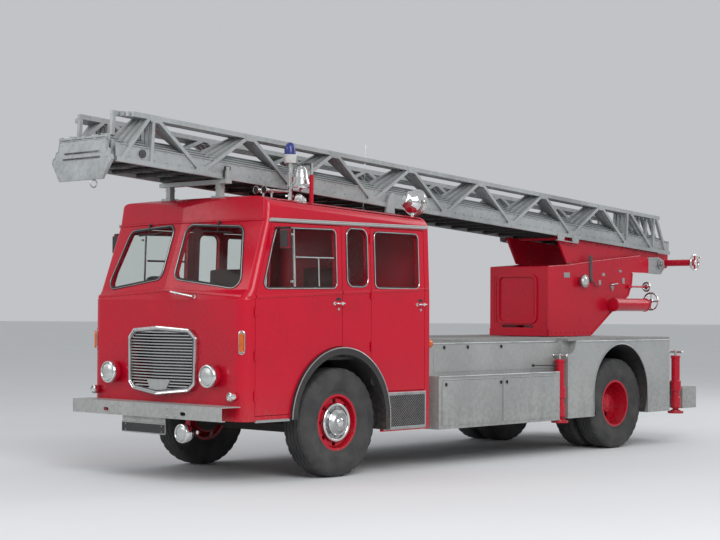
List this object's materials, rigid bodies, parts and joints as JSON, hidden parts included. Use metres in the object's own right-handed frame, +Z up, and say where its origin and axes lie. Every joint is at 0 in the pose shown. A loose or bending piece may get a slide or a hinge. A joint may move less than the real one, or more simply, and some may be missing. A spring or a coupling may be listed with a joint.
{
  "type": "turntable ladder fire engine",
  "caption": "Classic turntable ladder fire engine with a forward-control crew cab, folding screw jacks, slewing turntable and extending lattice ladder.",
  "frame": {"origin": "middle of the vehicle's length and width, on the ground under the wheels", "axes": "+X forward, +Y to the vehicle's left, +Z up"},
  "size_m": [9.3448, 2.54, 3.4037],
  "materials": {
    "red_paint": "gloss",
    "silver_paint": "satin",
    "ladder_grey": "satin",
    "chassis_black": "satin",
    "cast_metal": "rough",
    "tyre_rubber": "matt",
    "bright_metal": "polished",
    "deck_plate": "satin",
    "window_glass": "clear",
    "seat_leather": "satin",
    "dark_trim": "gloss"
  },
  "bodies": {
    "chassis": {"chassis_frame": "chassis_black", "engine_and_shaft": "cast_metal", "front_axle": "chassis_black", "rear_axle": "chassis_black", "jack_posts": "red_paint", "cab_side_left": "red_paint", "cab_side_right": "red_paint", "cab_front": "red_paint", "grille": "bright_metal", "cab_back": "red_paint", "cab_roof": "red_paint", "cab_glass": "window_glass", "cab_floor": "chassis_black", "seats": "seat_leather", "dashboard": "dark_trim", "radiator": "cast_metal", "front_lamps": "red_paint", "bumper": "silver_paint", "deck": "deck_plate", "body_side_left": "silver_paint", "body_side_right": "silver_paint", "rear_step": "silver_paint", "ladder_rest": "silver_paint", "bell": "bright_metal", "roof_lamps": "bright_metal", "arch_flares": "chassis_black"},
    "knuckle_left": {"knuckle_left": "chassis_black"},
    "knuckle_right": {"knuckle_right": "chassis_black"},
    "front_wheel_left": {"tyre_front_left": "tyre_rubber", "wheel_front_left": "red_paint"},
    "front_wheel_right": {"tyre_front_right": "tyre_rubber", "wheel_front_right": "red_paint"},
    "rear_wheels_left": {"tyres_rear_left": "tyre_rubber", "wheels_rear_left": "red_paint"},
    "rear_wheels_right": {"tyres_rear_right": "tyre_rubber", "wheels_rear_right": "red_paint"},
    "front_door_left": {"door_front_left": "red_paint", "glass_front_left": "window_glass"},
    "front_door_right": {"door_front_right": "red_paint", "glass_front_right": "window_glass"},
    "rear_door_left": {"door_rear_left": "red_paint", "glass_rear_left": "window_glass"},
    "rear_door_right": {"door_rear_right": "red_paint", "glass_rear_right": "window_glass"},
    "jack_front_left": {"jack_foot_front_left": "red_paint"},
    "jack_front_right": {"jack_foot_front_right": "red_paint"},
    "jack_rear_left": {"jack_foot_rear_left": "red_paint"},
    "jack_rear_right": {"jack_foot_rear_right": "red_paint"},
    "hand_steering": {"steering_wheel": "dark_trim"},
    "turntable": {"turntable": "red_paint", "pivot_ears": "ladder_grey", "gear_shafts": "red_paint"},
    "ladder_base": {"ladder_base_section": "ladder_grey", "ladder_cradle": "red_paint", "winch_shaft": "red_paint"},
    "ladder_second": {"ladder_second_section": "ladder_grey"},
    "ladder_third": {"ladder_third_section": "ladder_grey"},
    "ladder_top": {"ladder_top_section": "ladder_grey"},
    "lift_barrel": {"lift_barrels": "red_paint"},
    "lift_rod": {"lift_rods": "bright_metal"}
  },
  "joints": [
    {"name": "steer_left", "type": "hinge", "parent": "chassis", "child": "knuckle_left", "pos_m": [2.3645, 0.76, 0.525], "axis": [0, 0, 1], "range_deg": [-32, 32]},
    {"name": "steer_right", "type": "hinge", "parent": "chassis", "child": "knuckle_right", "pos_m": [2.3645, -0.76, 0.525], "axis": [0, 0, 1], "range_deg": [-32, 32]},
    {"name": "front_spin_left", "type": "hinge", "parent": "knuckle_left", "child": "front_wheel_left", "pos_m": [2.3645, 0.932, 0.525], "axis": [0, 1, 0], "continuous": true},
    {"name": "rear_spin_left", "type": "hinge", "parent": "chassis", "child": "rear_wheels_left", "pos_m": [-2.3855, 0.947, 0.525], "axis": [0, 1, 0], "continuous": true},
    {"name": "front_door_left", "type": "hinge", "parent": "chassis", "child": "front_door_left", "pos_m": [3.5275, 1.112, 1.4], "axis": [0, 0, -1], "range_deg": [0, 75]},
    {"name": "rear_door_left", "type": "hinge", "parent": "chassis", "child": "rear_door_left", "pos_m": [1.9575, 1.112, 1.6], "axis": [0, 0, -1], "range_deg": [0, 75]},
    {"name": "front_spin_right", "type": "hinge", "parent": "knuckle_right", "child": "front_wheel_right", "pos_m": [2.3645, -0.932, 0.525], "axis": [0, 1, 0], "continuous": true},
    {"name": "rear_spin_right", "type": "hinge", "parent": "chassis", "child": "rear_wheels_right", "pos_m": [-2.3855, -0.947, 0.525], "axis": [0, 1, 0], "continuous": true},
    {"name": "front_door_right", "type": "hinge", "parent": "chassis", "child": "front_door_right", "pos_m": [3.5275, -1.112, 1.4], "axis": [0, 0, 1], "range_deg": [0, 75]},
    {"name": "rear_door_right", "type": "hinge", "parent": "chassis", "child": "rear_door_right", "pos_m": [1.9575, -1.112, 1.6], "axis": [0, 0, 1], "range_deg": [0, 75]},
    {"name": "jack_front_left", "type": "slide", "parent": "chassis", "child": "jack_front_left", "axis": [0, 0, -1], "range_m": [0, 0.35]},
    {"name": "jack_front_right", "type": "slide", "parent": "chassis", "child": "jack_front_right", "axis": [0, 0, -1], "range_m": [0, 0.35]},
    {"name": "jack_rear_left", "type": "slide", "parent": "chassis", "child": "jack_rear_left", "axis": [0, 0, -1], "range_m": [0, 0.35]},
    {"name": "jack_rear_right", "type": "slide", "parent": "chassis", "child": "jack_rear_right", "axis": [0, 0, -1], "range_m": [0, 0.35]},
    {"name": "hand_steering", "type": "hinge", "parent": "chassis", "child": "hand_steering", "pos_m": [3.0645, -0.64, 1.8], "axis": [-0.4695, 0, 0.8829], "range_deg": [-180, 180]},
    {"name": "slew", "type": "hinge", "parent": "chassis", "child": "turntable", "pos_m": [-2.3355, 0, 1.3], "axis": [0, 0, 1], "continuous": true},
    {"name": "elevation", "type": "hinge", "parent": "turntable", "child": "ladder_base", "pos_m": [-4.3495, 0, 2.22], "axis": [0, -1, 0], "range_deg": [0, 75]},
    {"name": "extend_second", "type": "slide", "parent": "ladder_base", "child": "ladder_second", "axis": [0.998, 0, 0.0624], "range_m": [0, 6.9]},
    {"name": "extend_third", "type": "slide", "parent": "ladder_second", "child": "ladder_third", "axis": [0.998, 0, 0.0624], "range_m": [0, 6.9]},
    {"name": "extend_top", "type": "slide", "parent": "ladder_third", "child": "ladder_top", "axis": [0.998, 0, 0.0624], "range_m": [0, 6.9]},
    {"name": "lift_swing", "type": "hinge", "parent": "turntable", "child": "lift_barrel", "pos_m": [-2.5355, 0, 1.5], "axis": [0, 1, 0], "range_deg": [0, 9]},
    {"name": "lift_stroke", "type": "slide", "parent": "lift_barrel", "child": "lift_rod", "axis": [-0.877, 0, 0.4805], "range_m": [0, 0.52]}
  ],
  "couplings": [
    {"joint": "steer_right", "follows": "steer_left", "ratio": 1},
    {"joint": "hand_steering", "follows": "steer_left", "ratio": 5.5},
    {"joint": "extend_third", "follows": "extend_second", "ratio": 1},
    {"joint": "extend_top", "follows": "extend_second", "ratio": 1},
    {"joint": "lift_swing", "follows": "elevation", "ratio": 0.1169},
    {"joint": "lift_stroke", "follows": "elevation", "m_per_rad": 0.3947}
  ]
}
